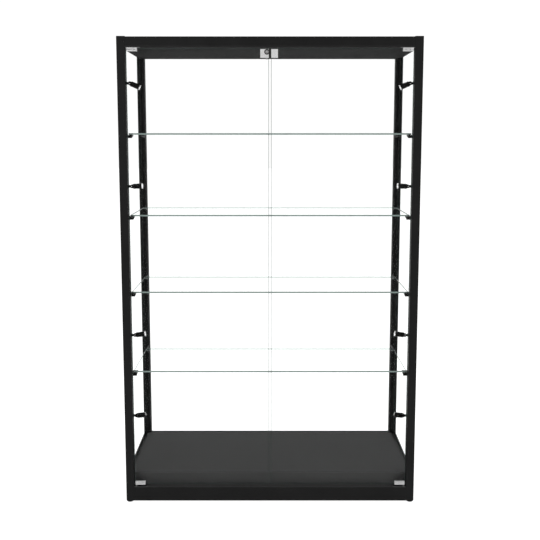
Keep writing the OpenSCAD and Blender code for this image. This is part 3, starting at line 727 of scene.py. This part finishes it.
def pivot_screws(lamp, place):
    """Bright domed screw heads on both ends of the tilt pin."""
    bm = bmesh.new()
    for way in (-1, 1):
        cap = lathe(SCREW_PROFILE, 24, closed=False)
        turn = Matrix.Rotation(-way * math.pi / 2, 4, "Y")
        seat = Matrix.Translation(Vector((0, 0, way * SCREW_SEAT * MM)))
        bmesh.ops.transform(cap, matrix=place @ seat @ turn, verts=cap.verts)
        absorb(bm, cap)
    piece(f"{lamp}_pivot_screws", bm, f"{lamp}_yoke", [NICKEL])


def build_lamp(lamp):
    """One lamp: its head in five pieces, its yoke, emitters, lens rings and pivot screws."""
    place = lamp_place(lamp)
    inverse = place.inverted()
    head = f"{lamp}_head"
    bm = welded(head)
    for faces in islands(bm):
        part = head_part(faces, inverse)
        mat, bevel = HEAD_PARTS[part]
        stands_for = (head,) if part == "body" else ()
        shell = part_of(bm, faces)
        if part == "bezel":
            along = place.to_3x3() @ Vector((1, 0, 0))
            stripe(shell, place @ Vector((BEZEL_FROM * MM, 0, 0)), BEZEL_RIM, along)
        piece(
            f"{lamp}_{part}", shell, head, [mat, LAMP_BLACK],
            bevel, 2, -1, stands_for,
        )
    bm.free()
    remade(f"{lamp}_yoke", "fork", [LAMP_BLACK], 0.4)
    lamp_optics(lamp, place)
    lens_rings(lamp, place)
    pivot_screws(lamp, place)


def build_lamps():
    """All the lamps and their fixed stems."""
    for name in BODY_OF:
        if name.endswith("_yoke"):
            build_lamp(name.removesuffix("_yoke"))
    remade("lamp_stems", "turned", [LAMP_BLACK], 0.25)


# ------------------------------------------------------- floor, light, view

def build_floor():
    """A pale floor that glows, so that it shows nearly white as in the photograph."""
    mat, tree, shader = new_material("pale_floor")
    cloud = noise(tree, 0.6, 3.0)
    tree.links.new(shade(tree, cloud, grey(0.38), grey(0.42)), shader.inputs["Base Color"])
    shader.inputs["Roughness"].default_value = 0.9
    shader.inputs["Emission Color"].default_value = (1, 1, 1, 1)
    shader.inputs["Emission Strength"].default_value = FLOOR_GLOW
    bm = bmesh.new()
    bmesh.ops.create_grid(bm, x_segments=1, y_segments=1, size=FLOOR_REACH)
    mesh = bpy.data.meshes.new("floor")
    bm.to_mesh(mesh)
    bm.free()
    mesh.materials.append(mat)
    floor = bpy.data.objects.new("floor", mesh)
    bpy.context.scene.collection.objects.link(floor)


def build_world():
    """White all round to look at; for lighting, dimmer towards the front than from behind."""
    world = bpy.data.worlds.new("studio")
    bpy.context.scene.world = world
    world.use_nodes = True
    tree = world.node_tree
    tree.nodes.clear()
    way = node(tree, "ShaderNodeTexCoord").outputs["Generated"]
    parts = node(tree, "ShaderNodeSeparateXYZ", {"Vector": way})
    lit = spread(tree, parts.outputs["Y"], ROOM_FRONT, ROOM_BACK, *ROOM_SPAN)
    seen = node(tree, "ShaderNodeLightPath").outputs["Is Camera Ray"]
    level = node(
        tree, "ShaderNodeMix", {"Factor": seen, 2: lit, 3: ROOM_SEEN}, data_type="FLOAT"
    ).outputs[0]
    sky = node(tree, "ShaderNodeBackground", {"Color": (1, 1, 1, 1), "Strength": level})
    out = node(tree, "ShaderNodeOutputWorld")
    tree.links.new(sky.outputs[0], out.inputs["Surface"])


def soft_light(name, at, aim, width, power):
    """A square area light at a place, turned to its aim and out of the camera's sight."""
    light = bpy.data.lights.new(name, "AREA")
    light.shape = "SQUARE"
    light.size = width
    light.energy = power
    lamp = bpy.data.objects.new(name, light)
    bpy.context.scene.collection.objects.link(lamp)
    lamp.location = at
    lamp.rotation_euler = (Vector(aim) - Vector(at)).to_track_quat("-Z", "Y").to_euler()
    lamp.visible_camera = False


def build_lights():
    """The white room and three soft lights."""
    build_world()
    for settings in SOFTBOXES:
        soft_light(*settings)


def build_camera():
    """The photograph's viewpoint."""
    camera = bpy.data.cameras.new("camera")
    camera.lens = CAMERA_LENS
    camera.sensor_width = CAMERA_SENSOR
    eye = bpy.data.objects.new("camera", camera)
    bpy.context.scene.collection.objects.link(eye)
    eye.location = CAMERA_AT
    eye.rotation_euler = (math.radians(90 - CAMERA_DOWN), 0, 0)
    bpy.context.scene.camera = eye


build_camera()
build_lights()
build_floor()
build_frame()
build_caps()
build_glass()
build_door_metal()
build_brackets()
build_lamps()
bpy.context.scene.view_settings.view_transform = "Standard"
bpy.context.scene.cycles.transparent_max_bounces = 32
